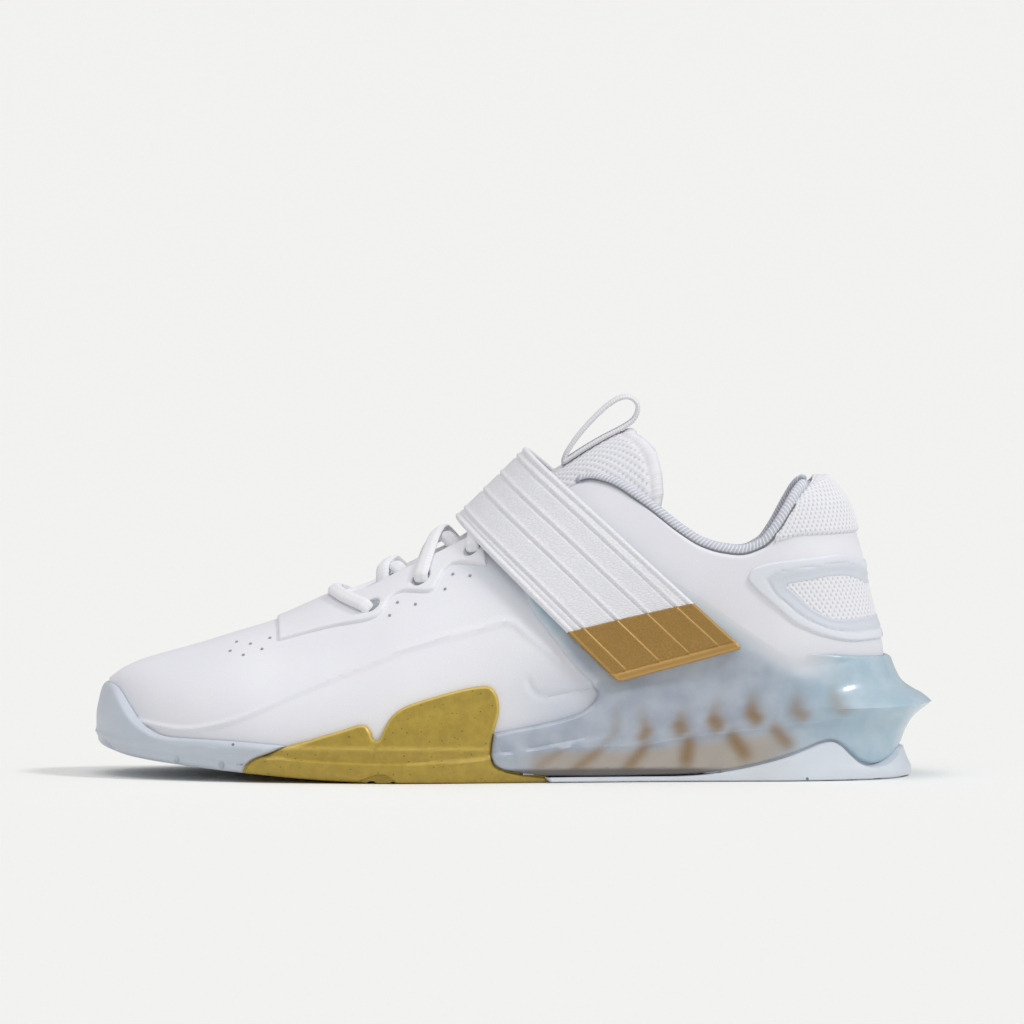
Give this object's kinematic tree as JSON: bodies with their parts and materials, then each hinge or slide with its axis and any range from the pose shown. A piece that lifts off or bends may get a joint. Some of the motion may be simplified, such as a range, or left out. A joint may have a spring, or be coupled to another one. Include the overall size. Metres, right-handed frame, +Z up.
{
  "type": "weightlifting shoe",
  "caption": "Low white lifting shoe for a left foot, with a raised heel wedge, an instep strap, laces, a padded tongue with a pull loop and a wrap-around rubber sole.",
  "frame": {"origin": "on the floor, at the middle of the shoe's bounding box", "axes": "+Z up, +X from the toe to the heel, -Y to the outer side of the left foot"},
  "size_m": [0.3068, 0.1074, 0.1401],
  "materials": {
    "upper_leather": "smooth white synthetic leather",
    "knit": "white spacer mesh over foam",
    "webbing": "white woven webbing and cord",
    "strap_leather": "fine creased white synthetic leather",
    "bronze_film": "satin moulded film",
    "pale_rubber": "satin pale grey rubber",
    "gold_rubber": "satin gold rubber with dark flecks",
    "frosted_moulding": "frosted translucent pale blue moulding"
  },
  "bodies": {
    "root": {"upper": "upper_leather", "eyestay": "upper_leather", "heel_counter": "upper_leather", "collar_binding_lateral": "knit", "collar_binding_medial": "knit", "tongue": "knit", "insole": "knit", "pull_loop": "webbing", "laces": "webbing", "strap": "strap_leather", "strap_tip": "bronze_film", "toe_rubber": "pale_rubber", "heel_plate": "pale_rubber", "side_wrap": "gold_rubber", "heel_midsole": "frosted_moulding"}
  },
  "joints": []
}
